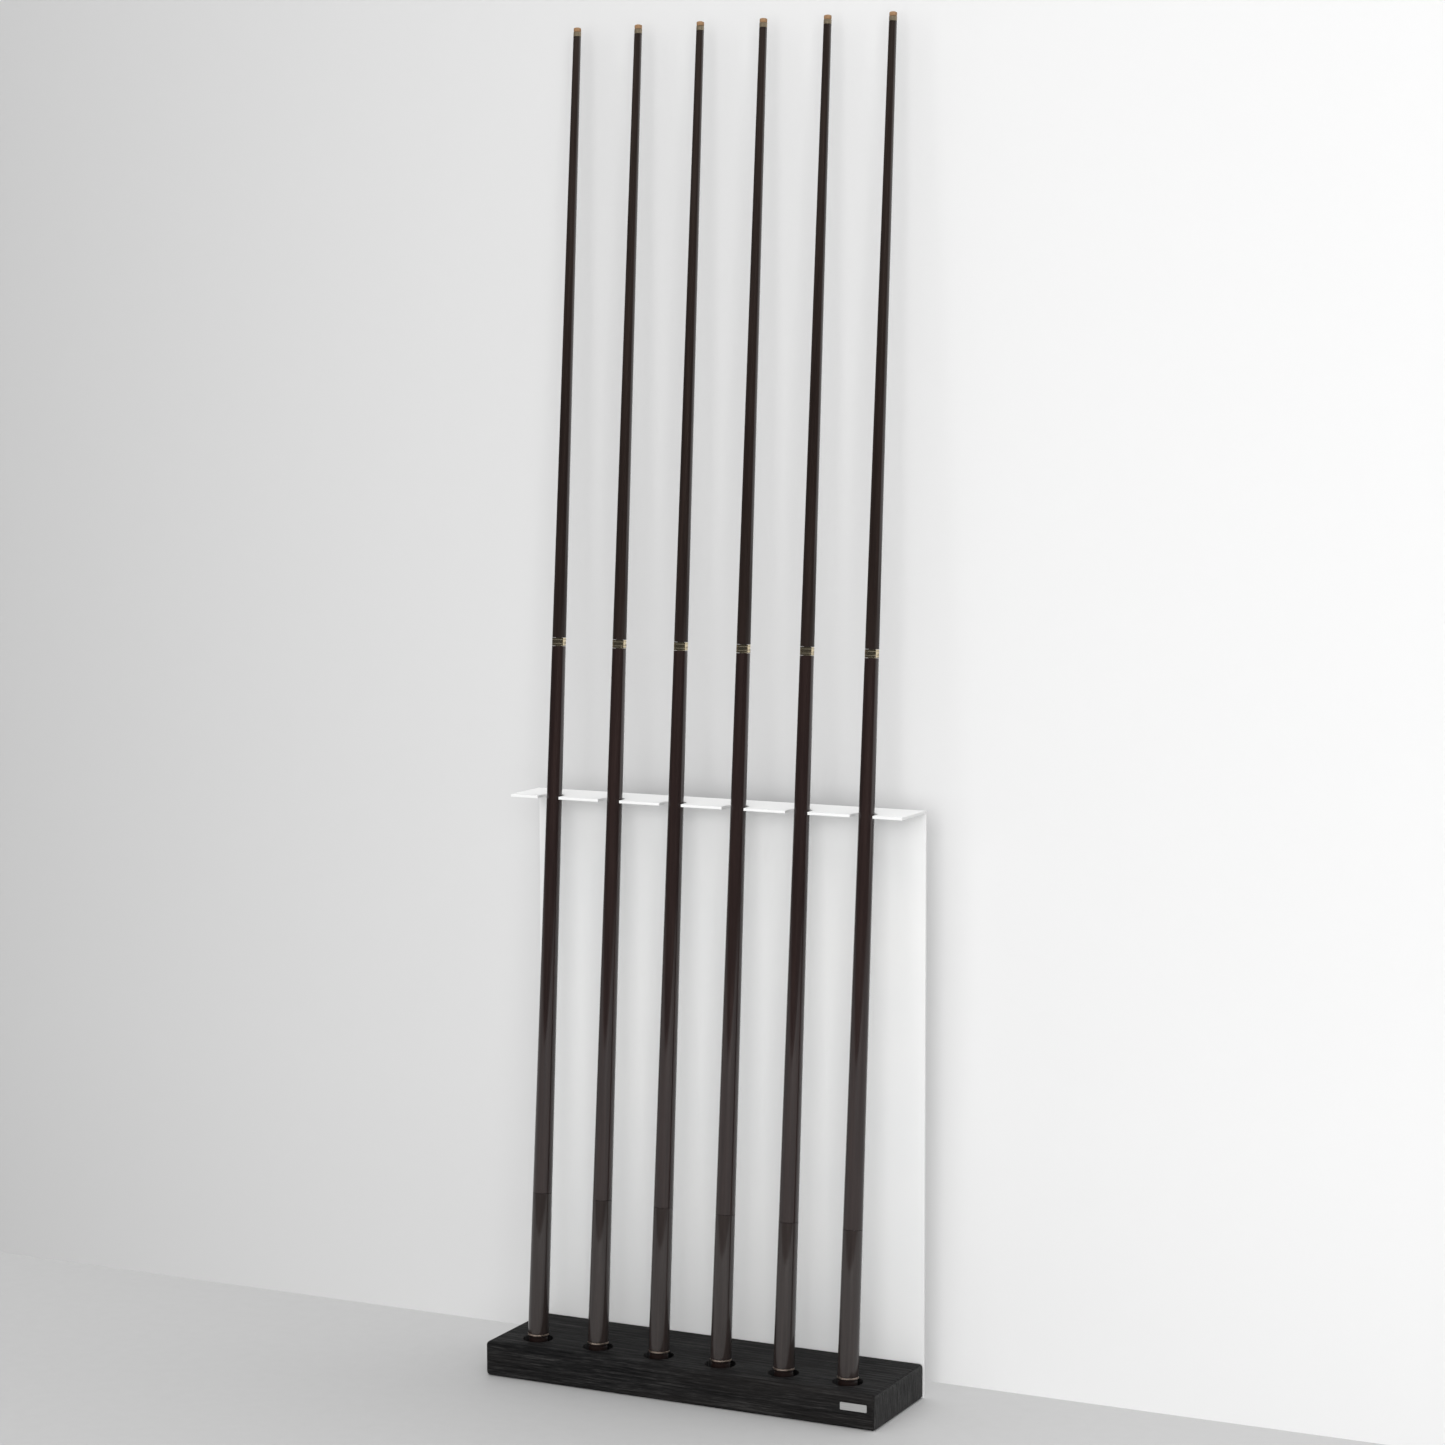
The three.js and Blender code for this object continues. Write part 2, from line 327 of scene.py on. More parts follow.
class Surface(Graph):
    """A procedural material in the making, around its Principled shader."""

    def __init__(self, name, **settings):
        self.material = bpy.data.materials.new(name)
        self.material.use_nodes = True
        super().__init__(self.material.node_tree)
        self.shader = self.tree.nodes["Principled BSDF"]
        for socket, value in settings.items():
            self.shader.inputs[socket.replace("_", " ")].default_value = value
        self.coords = self.node("TexCoord").outputs["Object"]

    def stretched(self, scale):
        return self.node("Mapping", Vector=self.coords, Scale=scale).outputs["Vector"]

    def even_noise(self, scale, detail=4.0, roughness=0.55):
        """Noise of the same size in every direction."""
        return self.noise(self.stretched((1, 1, 1)), scale, detail, roughness)

    def painted(self, stops):
        """A grey that changes with X; stops are (x, tone) pairs from left to right."""
        across = self.node("SeparateXYZ", Vector=self.coords).outputs["X"]
        return self.tone_along(across, stops[0][0], stops[-1][0], stops)

    def done(self, colour, roughness=None, normal=None):
        for socket, source in (("Base Color", colour), ("Roughness", roughness), ("Normal", normal)):
            if source is not None:
                self.feed(self.shader.inputs[socket], source)
        return self.material


# ---- Materials ----
def stained_wood():
    """Black-stained open-grain timber: grain along X. The faces that face X show end grain and are painted
    paler, painted light of a lit end face.
    """
    n = Surface("black_stained_wood", Roughness=0.6, Specular_IOR_Level=0.18)
    drift = n.noise(n.stretched((1.6, 14, 22)), 1.0, 3.0, 0.6, 0.6)
    streaks = n.noise(n.stretched((9, 420, 420)), 1.0, 4.0, 0.7, 0.3)
    pores = n.noise(n.stretched((60, 1500, 1500)), 1.0, 3.0, 0.7)
    fine = n.math("ADD", n.math("MULTIPLY", streaks, 0.55), n.math("MULTIPLY", pores, 0.45))
    dark, middle, pale = (0.0018, 0.0019, 0.0021), (0.0095, 0.0094, 0.0096), (0.034, 0.033, 0.0325)
    colour = n.ramp(fine, (0.4, dark), (0.52, middle), (0.62, pale))
    colour = n.mix(n.ramp(drift, (0.45, 0.0), (0.7, 0.45)), colour, (0.0165, 0.0145, 0.0135))
    # Painted light: the end faces get end grain in a paler tone, as if more light falls on an end.
    ends = n.noise(n.stretched((900, 900, 60)), 1.0, 3.0, 0.6)
    end_grain_and_painted_light = n.ramp(ends, (0.35, (0.009, 0.009, 0.0092)), (0.65, (0.046, 0.0455, 0.045)))
    facing = n.node("SeparateXYZ", Vector=n.node("TexCoord").outputs["Normal"])
    on_end = n.math("GREATER_THAN", n.math("ABSOLUTE", facing.outputs["X"]), 0.7)
    colour = n.mix(on_end, colour, end_grain_and_painted_light)
    rough = n.ramp(fine, (0.4, 0.85), (0.62, 0.65))
    return n.done(colour, rough, n.bump(fine, 0.0006, 0.6))


def powder_coat():
    n = Surface("white_powder_coat", Roughness=0.42, IOR=1.5)
    peel = n.even_noise(900.0, 2.0, 0.5)
    cloud = n.even_noise(5.0, 3.0)
    colour = n.ramp(cloud, (0.3, (0.735, 0.74, 0.74)), (0.7, (0.765, 0.765, 0.76)))
    rough = n.ramp(peel, (0.3, 0.38), (0.7, 0.5))
    return n.done(colour, rough, n.bump(peel, 0.00004, 0.35))


def lacquered(name, dark, light, streak_scale, painted_light_from=None):
    """Dark stained timber under clear lacquer, grain along the piece's own Z, painted paler and cooler past
    the given station as painted light.
    """
    n = Surface(name, Specular_IOR_Level=0.15, Coat_Weight=1.0, Coat_Roughness=0.08, Coat_IOR=1.5)
    own_coords = n.coords
    shift = n.node("VectorMath")
    shift.operation = "ADD"
    for socket, source in zip(shift.inputs, (own_coords, n.node("ObjectInfo").outputs["Random"])):
        n.feed(socket, source)
    n.coords = shift.outputs["Vector"]
    streaks = n.noise(n.stretched((streak_scale, streak_scale, 6)), 1.0, 4.0, 0.6, 0.4)
    pores = n.noise(n.stretched((1500, 1500, 60)), 1.0, 2.0, 0.5)
    colour = n.ramp(streaks, (0.3, dark), (0.72, light))
    colour = n.mix(n.ramp(pores, (0.55, 0.0), (0.75, 0.35)), colour, tuple(0.4 * c for c in dark))
    # Painted light: past this station along the cue, the colour is painted paler and cooler towards the top,
    # in place of the pale wall's light.
    if painted_light_from is not None:
        past = n.math("SUBTRACT", n.node("SeparateXYZ", Vector=own_coords).outputs["Z"], painted_light_from)
        colour = n.mix(1.0, colour, n.ramp(past, (0.0, 1.0), (0.5, (1.5, 1.75, 1.8))), "MULTIPLY")
    rough = n.ramp(streaks, (0.3, 0.5), (0.7, 0.38))
    return n.done(colour, rough, n.bump(pores, 0.00005, 0.3))


def polished_metal(name, colour, roughness=0.12, metallic=1.0):
    n = Surface(name, Metallic=metallic, Roughness=roughness)
    scratches = n.noise(n.stretched((400, 400, 6000)), 1.0, 2.0, 0.5)
    stain = n.even_noise(120.0, 3.0)
    tone = n.ramp(stain, (0.3, tuple(0.88 * c for c in colour)), (0.7, colour))
    rough = n.ramp(scratches, (0.3, 0.6 * roughness), (0.7, 1.7 * roughness))
    return n.done(tone, rough, n.bump(scratches, 0.00002, 0.2))


def brushed_metal(name, colour):
    """Metal brushed along X."""
    n = Surface(name, Metallic=0.6, Roughness=0.35)
    lines = n.noise(n.stretched((30, 3000, 3000)), 1.0, 3.0, 0.6)
    tone = n.ramp(lines, (0.3, tuple(0.8 * c for c in colour)), (0.7, colour))
    rough = n.ramp(lines, (0.3, 0.28), (0.7, 0.46))
    return n.done(tone, rough, n.bump(lines, 0.00003, 0.3))


def zinc_plate():
    n = Surface("bright_zinc", Metallic=1.0, Roughness=0.38)
    spangle = n.node("TexVoronoi", Vector=n.stretched((1, 1, 1)), Scale=160.0)
    cloud = n.even_noise(14.0)
    tone = n.mix(n.ramp(cloud, (0.35, 0.0), (0.7, 0.6)), (0.50, 0.51, 0.53), (0.40, 0.41, 0.44))
    grey = n.ramp(spangle.outputs["Distance"], (0.0, 0.35), (0.8, 0.65))
    tone = n.mix(0.4, tone, grey, "SOFT_LIGHT")
    rough = n.ramp(cloud, (0.3, 0.3), (0.7, 0.46))
    return n.done(tone, rough, n.bump(cloud, 0.0002, 0.2))


def felt():
    n = Surface("black_felt", Roughness=0.95, Sheen_Weight=0.6, Sheen_Roughness=0.5)
    fuzz = n.even_noise(1400.0, 3.0, 0.7)
    colour = n.ramp(fuzz, (0.3, (0.006, 0.006, 0.0065)), (0.7, (0.02, 0.02, 0.021)))
    return n.done(colour, None, n.bump(fuzz, 0.0003, 0.6))


def rubber():
    n = Surface("brown_rubber", Roughness=0.6, IOR=1.5)
    grit = n.even_noise(1800.0, 3.0, 0.6)
    colour = n.ramp(grit, (0.3, (0.006, 0.0035, 0.003)), (0.7, (0.013, 0.007, 0.006)))
    rough = n.ramp(grit, (0.3, 0.5), (0.7, 0.7))
    return n.done(colour, rough, n.bump(grit, 0.0001, 0.4))


def leather():
    n = Surface("tan_leather", Roughness=0.8)
    pressed = n.noise(n.stretched((300, 300, 2500)), 1.0, 3.0, 0.6)
    grain = n.even_noise(1500.0, 3.0, 0.6)
    colour = n.ramp(pressed, (0.25, (0.20, 0.115, 0.055)), (0.75, (0.36, 0.215, 0.115)))
    return n.done(colour, None, n.bump(n.math("ADD", pressed, grain), 0.00025, 0.6))


def painted_wall():
    """Matt paint on a one-sided sheet, painted paler to the right as painted light."""
    n = Surface("pale_wall", Roughness=0.9)
    n.done(n.painted(WALL_PAINTED_LIGHT))
    sides = n.node("MixShader", Fac=n.node("NewGeometry").outputs["Backfacing"])
    n.feed(sides.inputs[1], n.shader.outputs["BSDF"])
    n.feed(sides.inputs[2], n.node("BsdfTransparent").outputs["BSDF"])
    n.feed(n.tree.nodes["Material Output"].inputs["Surface"], sides.outputs["Shader"])
    return n.material


def painted_floor():
    n = Surface("pale_floor", Roughness=0.7)
    mottle = n.ramp(n.even_noise(60.0), (0.3, 0.975), (0.7, 1.0))
    # The floor's tone is painted paler to the right, painted light.
    return n.done(n.mix(1.0, n.painted(FLOOR_PAINTED_LIGHT), mottle, "MULTIPLY"))


# ---- Screws ----
class Screw:
    """Where a panel screw sits and its radii and depths, read from its CAD corners."""

    def __init__(self, number):
        self.node = f"panel_screw_{number}"
        low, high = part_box(self.node)
        x, z = (low.x + high.x) / 2, (low.z + high.z) / 2
        self.head, self.length = (high.x - low.x) / 2, high.y - low.y
        depths = [(high.y - co.y, math.hypot(co.x - x, co.z - z)) for co in cad_corners(self.node)]
        self.edge = max(depth for depth, r in depths if r > 0.9 * self.head)
        self.neck = min(depth for depth, _ in depths if depth > self.edge + CLOSE)
        self.shank = max(r for depth, r in depths if depth > self.edge + CLOSE)
        self.place = Matrix.Translation((x, high.y, z)) @ Matrix.Rotation(math.radians(-90), 4, "X")

    def hole(self, material):
        """A tool that cuts the countersink and the shank's hole, from a little behind the panel."""
        past = 0.001
        wide, narrow = self.head + SCREW_GAP, self.shank + SCREW_GAP
        neck, bottom = -self.neck - SCREW_GAP, -self.length - SCREW_GAP
        profile = [(0, past), (wide, past), (wide, -self.edge), (narrow, neck), (narrow, bottom), (0, bottom)]
        tool = turned(f"{self.node}_hole", profile, material, SCREW_SEGMENTS)
        tool.matrix_world = self.place
        return tool

    def pieces(self, material):
        """A countersunk head with a cross recess, and a pointed shank with a helical thread."""
        stub = -self.neck - 0.002
        profile = [(0, stub), (self.shank, stub), (self.shank, -self.neck)]
        profile += [(self.head, -self.edge), (self.head, 0), (0, 0)]
        head = turned(f"{self.node}_look", softened(profile, SCREW_EDGE), material, SCREW_SEGMENTS)
        subtract(head, [recess_arm(turn, 0.52 * self.head, 0.6 * self.neck, material) for turn in (0, 90)])
        shade_cut(head)
        head.matrix_world = self.place
        place_piece(head, "rack", "screw_zinc", self.node)
        name = f"{self.node}_thread_look"
        thread = threaded_pin(name, self.shank, self.neck + 0.001, self.length, material)
        thread.matrix_world = self.place @ Matrix.Rotation(math.radians(180), 4, "X")
        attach(thread, "rack")


def recess_arm(turn, reach, depth, material):
    """One arm of the cross, narrower towards its floor."""
    top, floor_reach, half = 0.0004, 0.45 * reach, 0.24 * reach
    outline = [(-reach, top), (reach, top), (floor_reach, -depth), (-floor_reach, -depth)]
    name = f"recess_arm_{turn}"
    arm = extruded(name, outline, 2 * half, lambda u, v, w: (u, w - half, v), material)
    arm.matrix_world = Matrix.Rotation(math.radians(turn), 4, "Z")
    return arm


def screw_holes(material):
    return [Screw(i + 1).hole(material) for i in range(SCREW_COUNT)]


# ---- Block ----
def base_block(material):
    low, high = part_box("base_block")
    bm = bmesh.new()
    bmesh.ops.create_cube(bm, size=1.0)
    bmesh.ops.scale(bm, vec=high - low, verts=bm.verts)
    bmesh.ops.translate(bm, vec=(high + low) / 2, verts=bm.verts)
    block = finish_mesh(bm, "block", material)
    bevel(block, BLOCK_EDGE, segments=6)
    subtract(block, [pocket_tool(i + 1, high.z, material) for i in range(CUE_COUNT)] + screw_holes(material))
    margin = 0.02

    def on_rim(edge):
        a, b = (v.co for v in edge.verts)
        on_top = min(a.z, b.z) > high.z - CLOSE
        at_end = max(abs(a.x), abs(b.x)) > high.x - margin
        at_side = abs((a + b).y / 2) > high.y - margin
        return on_top and is_sharp(edge) and not (at_end or at_side)

    bevel(block, POCKET_EDGE, on_rim, 3)
    place_piece(block, "rack", "block_wood", "base_block")


def pocket_tool(number, top, material):
    low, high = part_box(f"pocket_pad_{number}")
    radius, past = (high.x - low.x) / 2 + POCKET_GAP, top + CUT_PAST
    profile = [(0, low.z), (radius, low.z), (radius, past), (0, past)]
    tool = turned(f"pocket_tool_{number}", profile, material, POCKET_SEGMENTS)
    tool.location = ((low.x + high.x) / 2, (low.y + high.y) / 2, 0)
    return tool


def pocket_pad(number, material):
    low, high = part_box(f"pocket_pad_{number}")
    radius, thickness = (high.x - low.x) / 2, high.z - low.z
    profile = softened([(0, 0), (radius, 0), (radius, thickness), (0, thickness)], PAD_EDGE)
    pad = turned(f"felt_pad_{number}", profile, material)
    pad.location = ((low.x + high.x) / 2, (low.y + high.y) / 2, low.z)
    place_piece(pad, "rack", "pad_felt", f"pocket_pad_{number}")


def badge(material):
    low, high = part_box("badge_plate")
    right, up = (high.x - low.x) / 2 - BADGE_CORNER, (high.z - low.z) / 2 - BADGE_CORNER
    outline = []
    for side, rise, start in ((1, -1, -90), (1, 1, 0), (-1, 1, 90), (-1, -1, 180)):
        outline += arc(side * right, rise * up, BADGE_CORNER, start, start + 90, 5)
    plate = extruded("blank_plate", outline, high.y - low.y, lambda u, v, w: (u, -w, v), material)
    plate.location = ((low.x + high.x) / 2, high.y, (low.z + high.z) / 2)
    bevel(plate, BADGE_EDGE)
    place_piece(plate, "rack", "badge_metal", "badge_plate")


# ---- Panel ----
def panel(material):
    """A sheet that rises behind the block and folds forward into a notched shelf."""
    low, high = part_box("back_panel")
    front_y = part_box("base_block")[1].y
    under = high.z - (high.y - front_y)
    outer, inner = PANEL_BEND_OUTER, PANEL_BEND_INNER
    outline = [(front_y, 0.0), (high.y, 0.0)]
    outline += arc(high.y - outer, high.z - outer, outer, 0, 90, 10)
    outline += [(low.y, high.z), (low.y, under)]
    outline += arc(front_y - inner, under - inner, inner, 90, 0, 6)
    width = high.x - low.x
    sheet = extruded("folded_panel", outline, width, lambda u, v, w: (low.x + w, u, v), material)
    subtract(sheet, [notch_tool(i + 1, material) for i in range(CUE_COUNT)] + screw_holes(material))
    bevel(sheet, SHEET_EDGE)
    place_piece(sheet, "rack", "panel_steel", "back_panel")


def cue_x(number):
    low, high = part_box(f"cue_{number}_ring")
    return (low.x + high.x) / 2


def notch_edge():
    """The notches' half width and the place of their round ends, from the CAD panel's corners."""
    low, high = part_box("back_panel")
    centre, reach, bend = cue_x(1), 0.02, 0.006
    around = [co for co in cad_corners("back_panel") if abs(co.x - centre) < reach]
    half = min(abs(co.x - centre) for co in around if abs(co.y - low.y) < NEAR)
    end = max(co.y for co in around if co.z > high.z - NEAR and co.y < high.y - bend)
    return half, end


def notch_tool(number, material):
    low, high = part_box("back_panel")
    x, (half, end) = cue_x(number), notch_edge()
    front, bottom, depth = low.y - CUT_PAST, high.z - 0.012, 0.02
    outline = [(-half, front), (half, front)] + arc(0, end - half, half, 0, 180, 36)
    name = f"notch_tool_{number}"
    return extruded(name, outline, depth, lambda u, v, w: (x + u, v, bottom + w), material)


# ---- Rail behind the panel ----
def folded_outline(points, bend, sheet):
    """Outline of a sheet that follows a path of points, with a right-angled bend at each inner one."""
    path = [Vector(point) for point in points]
    left, right = [], []
    for i, point in enumerate(path):
        ahead = path[i + 1] - point if i + 1 < len(path) else point - path[i - 1]
        into = (point - path[i - 1] if i else ahead).normalized()
        side = Vector((-into.y, into.x))
        if i in (0, len(path) - 1):
            left.append(tuple(point + side * sheet / 2))
            right.append(tuple(point - side * sheet / 2))
            continue
        turn = math.copysign(1.0, into.cross(ahead))
        centre = point + (turn * side - into) * bend
        start = math.degrees(math.atan2(-turn * side.y, -turn * side.x))
        near = arc(centre.x, centre.y, bend - sheet / 2, start, start + 90 * turn, 6)
        far = arc(centre.x, centre.y, bend + sheet / 2, start, start + 90 * turn, 6)
        left += near if turn > 0 else far
        right += far if turn > 0 else near
    return left + right[::-1]


def rail(material):
    low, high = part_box("wall_rail")
    depths = sorted({round(co.y, 6) for co in cad_corners("wall_rail")})
    sheet = depths[1] - depths[0]
    near, far, top = low.y + sheet / 2, high.y - sheet / 2, high.z - sheet / 2
    path = [(near, low.z), (near, top), (far, top), (far, low.z)]
    outline, width = folded_outline(path, RAIL_BEND * sheet, sheet), high.x - low.x
    made = extruded("folded_rail", outline, width, lambda u, v, w: (low.x + w, u, v), material)
    subtract(made, [keyhole_tool(side, material) for side in (-1, 1)])
    bevel(made, RAIL_EDGE)
    place_piece(made, "rack", "rail_zinc", "wall_rail")


def keyhole_tool(side, material):
    """The keyhole on one side, from the corners that the hole has in the CAD rail's wall face."""
    low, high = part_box("wall_rail")
    corners = [co for co in cad_corners("wall_rail") if abs(co.y - high.y) < CLOSE]
    hole = [(co.x, co.z) for co in corners if low.z + NEAR < co.z < high.z - NEAR and co.x * side > 0]
    left, right = min(x for x, _ in hole), max(x for x, _ in hole)
    bottom, top = min(z for _, z in hole), max(z for _, z in hole)
    centre, head = (left + right) / 2, (right - left) / 2
    slot = max(abs(x - centre) for x, z in hole if z > (bottom + top) / 2)
    meet = math.degrees(math.asin(slot / head))
    outline = arc(centre, bottom + head, head, 90 + meet, 450 - meet, 40)
    outline += arc(centre, top - slot, slot, 0, 180, 20)
    front, depth = high.y - 0.006, 0.01
    return extruded(f"keyhole_tool_{side}", outline, depth, lambda u, v, w: (u, front + w, v), material)


# ---- Cues ----
class Cue:
    """A cue's axis and the stations of its CAD nodes along that axis, from the bumper's sole."""

    def __init__(self, number):
        self.number = number
        joints = frame["record"]["behaviour"]["joints"]
        draw = next(j for j in joints if j["name"] == f"cue_{number}_shaft_draw")
        self.axis = Vector(draw["axis"]).normalized()
        low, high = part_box(self.node("ring"))
        self.foot = (low + high) / 2
        self.foot += self.span("bumper")[0] * self.axis
        turn = Vector((0, 0, 1)).rotation_difference(self.axis).to_matrix().to_4x4()
        self.place = Matrix.Translation(self.foot) @ turn

    def node(self, piece):
        return f"cue_{self.number}_{piece}"

    def corners(self, piece):
        """(station, distance from the axis) of every corner of a node."""
        points = []
        for corner in cad_corners(self.node(piece)):
            arm = corner - self.foot
            station = arm.dot(self.axis)
            points.append((station, (arm - station * self.axis).length))
        return points

    def span(self, piece):
        stations = [station for station, _ in self.corners(piece)]
        return min(stations), max(stations)

    def radius_at(self, piece, end):
        return max(r for station, r in self.corners(piece) if abs(station - end) < NEAR)

    def ends(self, piece):
        """Lowest and highest station, with the outer radius at each."""
        low, high = self.span(piece)
        return low, high, self.radius_at(piece, low), self.radius_at(piece, high)

    def bore(self, piece):
        """Radius of a node's bore, and the stations of the bore's corners."""
        corners = self.corners(piece)
        radius = min(r for _, r in corners if r > NEAR)
        return radius, [station for station, r in corners if abs(r - radius) < CLOSE]

    def piece(self, piece, profile, material, slot, body, edge=JOIN_EDGE):
        made = turned(self.node(piece) + "_look", softened(profile, edge), material)
        made.matrix_world = self.place
        place_piece(made, f"cue_{self.number}_{body}", slot, self.node(piece))


def bumper(cue, material):
    """Round-edged rubber with a dimple in its sole and a fine groove below its top."""
    low, high, sole, top = cue.ends("bumper")
    dimple_floor, dimple_mouth, dimple_depth = 0.0025, 0.0032, 0.003
    groove, groove_half, groove_depth = high - 0.0022, 0.0006, 0.0005
    bed, bed_half = top - groove_depth, groove_half / 2
    round_edge = top - sole
    profile = [(0, low + dimple_depth), (dimple_floor, low + dimple_depth), (dimple_mouth, low)]
    profile += arc(sole, low + round_edge, round_edge, -90, 0, 8)
    profile += [(top, groove - groove_half), (bed, groove - bed_half), (bed, groove + bed_half)]
    profile += [(top, groove + groove_half), (top, high), (0, high)]
    cue.piece("bumper", profile, material, "cue_rubber", "lower")


def plain_turning(cue, piece, material, slot, body, edge=RING_EDGE):
    """A tapered length of the cue with broken edges, so that a fine line shows at each join."""
    low, high, wide, narrow = cue.ends(piece)
    profile = [(0, low), (wide, low), (narrow, high), (0, high)]
    cue.piece(piece, profile, material, slot, body, edge)


def butt(cue, material):
    low, high, wide, narrow = cue.ends("butt")
    bore, stations = cue.bore("butt")
    floor = min(stations)
    profile = [(0, low), (wide, low), (narrow, high), (bore, high), (bore, floor), (0, floor)]
    cue.piece("butt", profile, material, "cue_butt", "lower")


def shaft(cue, material):
    low, high, wide, narrow = cue.ends("shaft")
    bore, stations = cue.bore("shaft")
    end = max(stations)
    profile = [(0, end), (bore, end), (bore, low), (wide, low), (narrow, high), (0, high)]
    cue.piece("shaft", profile, material, "cue_shaft", "upper")


def collar_and_pin(cue, material):
    """A polished collar with two fine grooves, and the threaded pin that stands up from it."""
    corners = cue.corners("joint")
    widest = max(r for _, r in corners)
    pin = max(r for _, r in corners if r < 0.7 * widest)
    rim = [station for station, r in corners if r > 0.9 * widest]
    low, high = min(rim), max(rim)
    root, end = cue.span("joint")
    groove_half, groove_depth = 0.0002, 0.0001
    bed, bed_half = widest - groove_depth, groove_half / 2
    profile = [(0, root), (pin, root), (pin, low), (widest, low)]
    for share in (0.25, 0.75):
        groove = low + share * (high - low)
        profile += [(widest, groove - groove_half), (bed, groove - bed_half)]
        profile += [(bed, groove + bed_half), (widest, groove + groove_half)]
    profile += [(widest, high), (pin - THREAD_DEPTH, high), (0, high)]
    cue.piece("joint", profile, material, "cue_brass", "lower", COLLAR_EDGE)
    thread = threaded_pin(cue.node("pin_look"), pin, high - 0.0005, end, material)
    thread.matrix_world = cue.place
    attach(thread, f"cue_{cue.number}_lower")


def threaded_pin(name, radius, low, high, material):
    """A closed pin whose surface follows one helix, with a short cone at its end."""
    rows = round((high - low) / THREAD_PITCH * THREAD_ROWS)
    bm = bmesh.new()
    rings = []
    for row in range(rows + 1):
        height = low + (high - low) * row / rows
        cone = min(1.0, THREAD_END + (1 - THREAD_END) * (high - height) / THREAD_CONE)
        ring = []
        for i in range(THREAD_SEGMENTS):
            turns = i / THREAD_SEGMENTS
            phase = ((height - low) / THREAD_PITCH - turns) % 1.0
            r = (radius - THREAD_DEPTH * abs(2 * phase - 1)) * cone
            ring.append(bm.verts.new(circle_point(r, 2 * math.pi * turns, height)))
        rings.append(ring)
    for lower, upper in zip(rings, rings[1:]):
        for i in range(THREAD_SEGMENTS):
            j = (i + 1) % THREAD_SEGMENTS
            bm.faces.new((lower[i], lower[j], upper[j], upper[i]))
    bm.faces.new(rings[0][::-1])
    bm.faces.new(rings[-1])
    return finish_mesh(bm, name, material)


def tip(cue, material):
    """A slightly bulging leather tip with a domed end."""
    low, high, base, _ = cue.ends("tip")
    shoulder = max(station for station, r in cue.corners("tip") if r > 0.99 * base)
    bulge = 0.0001
    profile = [(0, low), (base - bulge, low), (base + bulge, (low + shoulder) / 2), (base, shoulder)]
    crown = high - shoulder
    dome = (base * base + crown * crown) / (2 * crown)
    start = math.degrees(math.acos(base / dome))
    profile += arc(0, high - dome, dome, start, 90, 8)[1:-1] + [(0, high)]
    cue.piece("tip", profile, material, "cue_leather", "upper", RING_EDGE)


def cue_pieces(number, finishes):
    cue = Cue(number)
    bumper(cue, finishes["rubber"])
    plain_turning(cue, "ring", finishes["ring"], "cue_brass", "lower")
    plain_turning(cue, "sleeve", finishes["sleeve"], "cue_sleeve", "lower", JOIN_EDGE)
    butt(cue, finishes["butt"])
    collar_and_pin(cue, finishes["brass"])
    shaft(cue, finishes["shaft"])
    plain_turning(cue, "ferrule", finishes["ferrule"], "cue_brass", "upper")
    tip(cue, finishes["leather"])


# ---- Stage, light and camera ----
def stage_sheet(name, corners, material):
    bm = bmesh.new()
    bm.faces.new([bm.verts.new(corner) for corner in corners])
    mesh = bpy.data.meshes.new(name)
    bm.to_mesh(mesh)
    bm.free()
    mesh.materials.append(material)
    sheet = bpy.data.objects.new(name, mesh)
    bpy.context.scene.collection.objects.link(sheet)
    return sheet


def stage():
    """A floor all round, and a wall that is drawn from its front only and takes no part in the lighting."""
    left, right, front, back, top = -STAGE_REACH, STAGE_REACH, STAGE_FRONT, STAGE_REACH, WALL_HEIGHT
    floor = [(left, front, 0), (right, front, 0), (right, back, 0), (left, back, 0)]
    stage_sheet("floor", floor, painted_floor())
    wall = [(left, WALL_Y, 0), (right, WALL_Y, 0), (right, WALL_Y, top), (left, WALL_Y, top)]
    backdrop = stage_sheet("wall", wall, painted_wall())
    backdrop.visible_diffuse = backdrop.visible_glossy = backdrop.visible_shadow = False


def softbox(name, place, target, width, height, power):
    """A large area light that lights surfaces but doesn't show as a shape in their gloss."""
    data = bpy.data.lights.new(name, "AREA")
    data.shape = "RECTANGLE"
    data.size = width
    data.size_y = height
    data.energy = power
    light = bpy.data.objects.new(name, data)
    bpy.context.scene.collection.objects.link(light)
    light.location = place
    light.rotation_euler = (Vector(target) - Vector(place)).to_track_quat("-Z", "Y").to_euler()
    light.visible_glossy = False


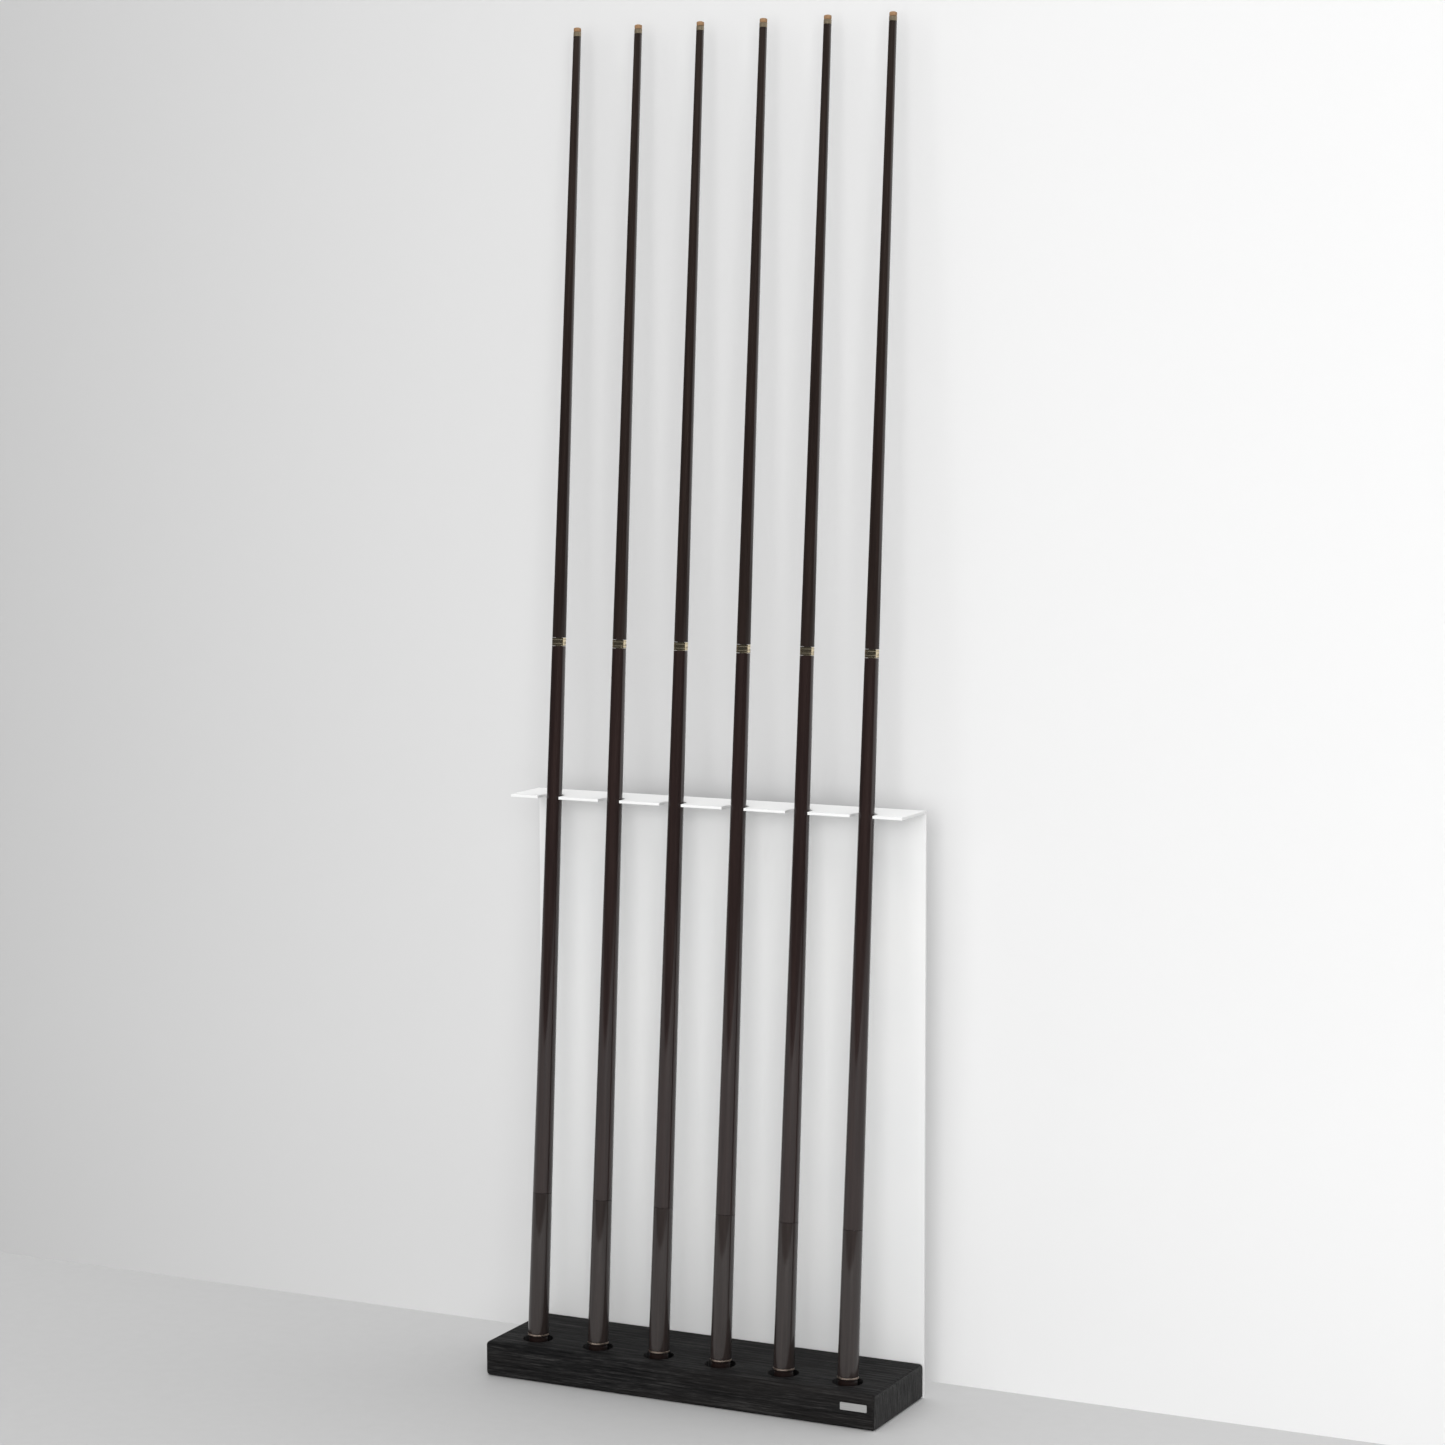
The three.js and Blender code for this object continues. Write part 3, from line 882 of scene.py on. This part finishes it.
def world_light():
    """A plain grey where the camera looks past the stage. For everything else, mostly gloss, a pale
    wall on the +Y side that fades to the left, and a dim room on the -Y side."""
    world = bpy.data.worlds.new("studio")
    bpy.context.scene.world = world
    world.use_nodes = True
    n = Graph(world.node_tree)
    direction = n.node("SeparateXYZ", Vector=n.node("TexCoord").outputs["Generated"]).outputs
    change_of_side = ((-0.02, 0.0), (0.02, 1.0))
    wall_side = n.tone_along(direction["Y"], -0.1, 0.1, change_of_side, "B_SPLINE")
    glow = n.tone_along(direction["X"], -1, 1, WALL_GLOW, "B_SPLINE")
    reflected = n.mix(wall_side, ROOM_REFLECTED, glow)
    seen = n.node("LightPath").outputs["Is Camera Ray"]
    n.feed(n.tree.nodes["Background"].inputs["Color"], n.mix(seen, reflected, ROOM_SEEN))


def studio():
    world_light()
    softbox("key_softbox", (2.3, -5.8, 1.4), (0, 0, 0.7), 4.0, 3.2, 178)
    softbox("fill_softbox", (0.8, -7.2, 2.2), (0, 0, 0.7), 11.0, 5.2, 345)
    softbox("ceiling_softbox", (0, -1.5, 5.0), (0, -1.5, 0), 10.0, 9.0, 365)


def camera():
    data = bpy.data.cameras.new("camera")
    data.sensor_width = SENSOR_WIDTH
    data.lens = CAMERA_LENS
    obj = bpy.data.objects.new("camera", data)
    bpy.context.scene.collection.objects.link(obj)
    turn = CAMERA_FORWARD.to_track_quat("-Z", "Y").to_matrix().to_4x4()
    obj.matrix_world = Matrix.Translation(CAMERA_PLACE) @ turn @ Matrix.Rotation(CAMERA_ROLL, 4, "Z")
    bpy.context.scene.camera = obj
    bpy.context.scene.view_settings.view_transform = "Standard"


# ---- Everything ----
WOOD = stained_wood()
WHITE = powder_coat()
BRASS = polished_metal("pale_brass", (0.72, 0.62, 0.44))
camera()
studio()
stage()
base_block(WOOD)
panel(WHITE)
ZINC = zinc_plate()
rail(ZINC)
for number in range(1, SCREW_COUNT + 1):
    Screw(number).pieces(ZINC)
badge(brushed_metal("brushed_plate", (0.52, 0.52, 0.515)))
FELT = felt()
CUE_FINISHES = {
    "rubber": rubber(),
    "brass": BRASS,
    "leather": leather(),
    "ferrule": polished_metal("dull_brass", (0.27, 0.22, 0.15), 0.35, 0.55),
    "ring": polished_metal("rose_brass", (0.80, 0.65, 0.55), 0.3),
    "sleeve": lacquered("smoke_lacquer", (0.0182, 0.0133, 0.0122), (0.030, 0.0232, 0.0215), 220),
    "butt": lacquered("red_brown_lacquer", (0.0115, 0.0060, 0.0055), (0.0225, 0.0130, 0.0115), 220),
    # The shaft's colour is painted paler above 1 m, painted light towards its top.
    "shaft": lacquered("brown_lacquer", (0.0100, 0.0058, 0.0047), (0.0205, 0.0128, 0.0105), 260, 1.0),
}
for number in range(1, CUE_COUNT + 1):
    pocket_pad(number, FELT)
    cue_pieces(number, CUE_FINISHES)
